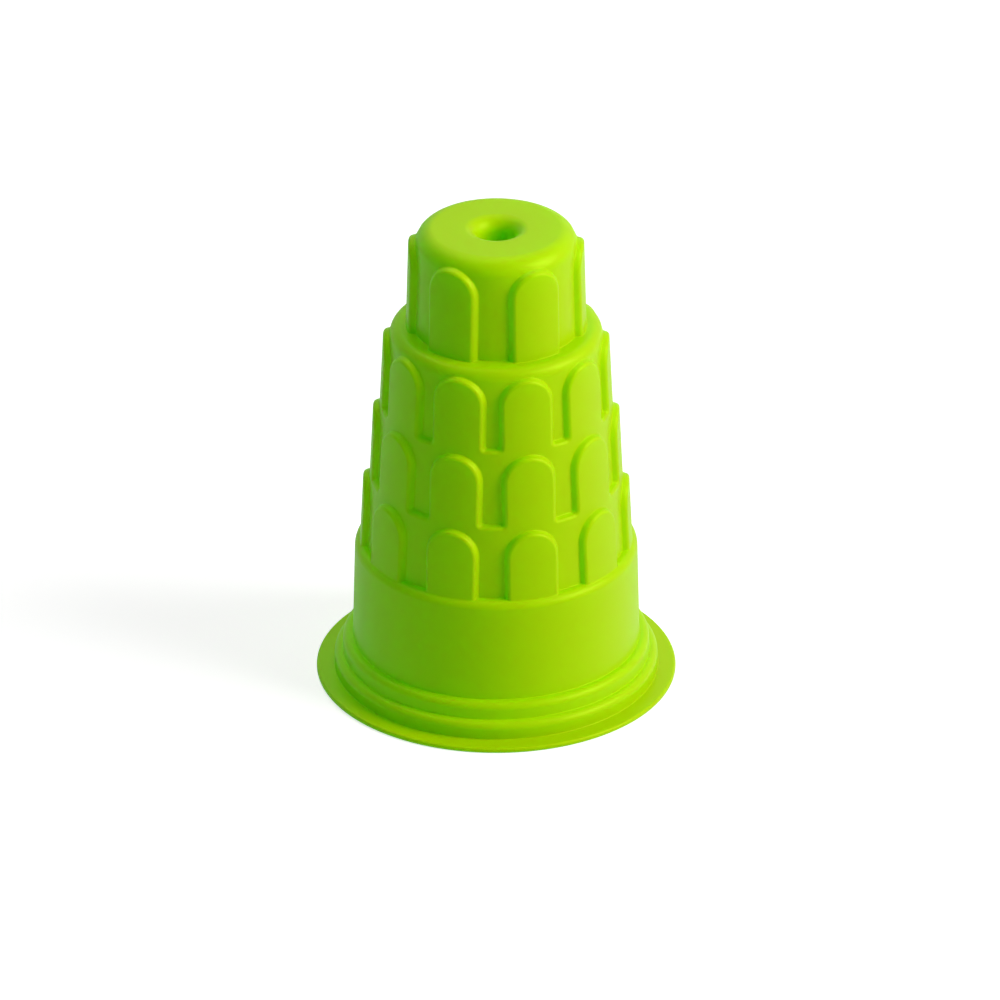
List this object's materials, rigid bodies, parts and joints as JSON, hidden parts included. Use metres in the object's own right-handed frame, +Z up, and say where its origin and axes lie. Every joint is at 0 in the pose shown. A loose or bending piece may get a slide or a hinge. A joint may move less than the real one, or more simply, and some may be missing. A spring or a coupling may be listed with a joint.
{
  "type": "sand mould",
  "caption": "One-piece plastic sand mould shaped like a round arcaded tower: hollow, open at the wide flanged foot, with a vent hole in the crown.",
  "frame": {"origin": "centre of the flange's underside, on the surface the mould stands on with its open side down", "axes": "+Z up along the tower's axis, from the open foot to the crown; a gap between two columns of panels faces -Y"},
  "size_m": [0.13, 0.13, 0.1763],
  "materials": {
    "polypropylene": "satin, smooth moulded polypropylene in lime green, slightly translucent"
  },
  "bodies": {
    "root": {"mould_shell": "polypropylene"}
  },
  "joints": []
}
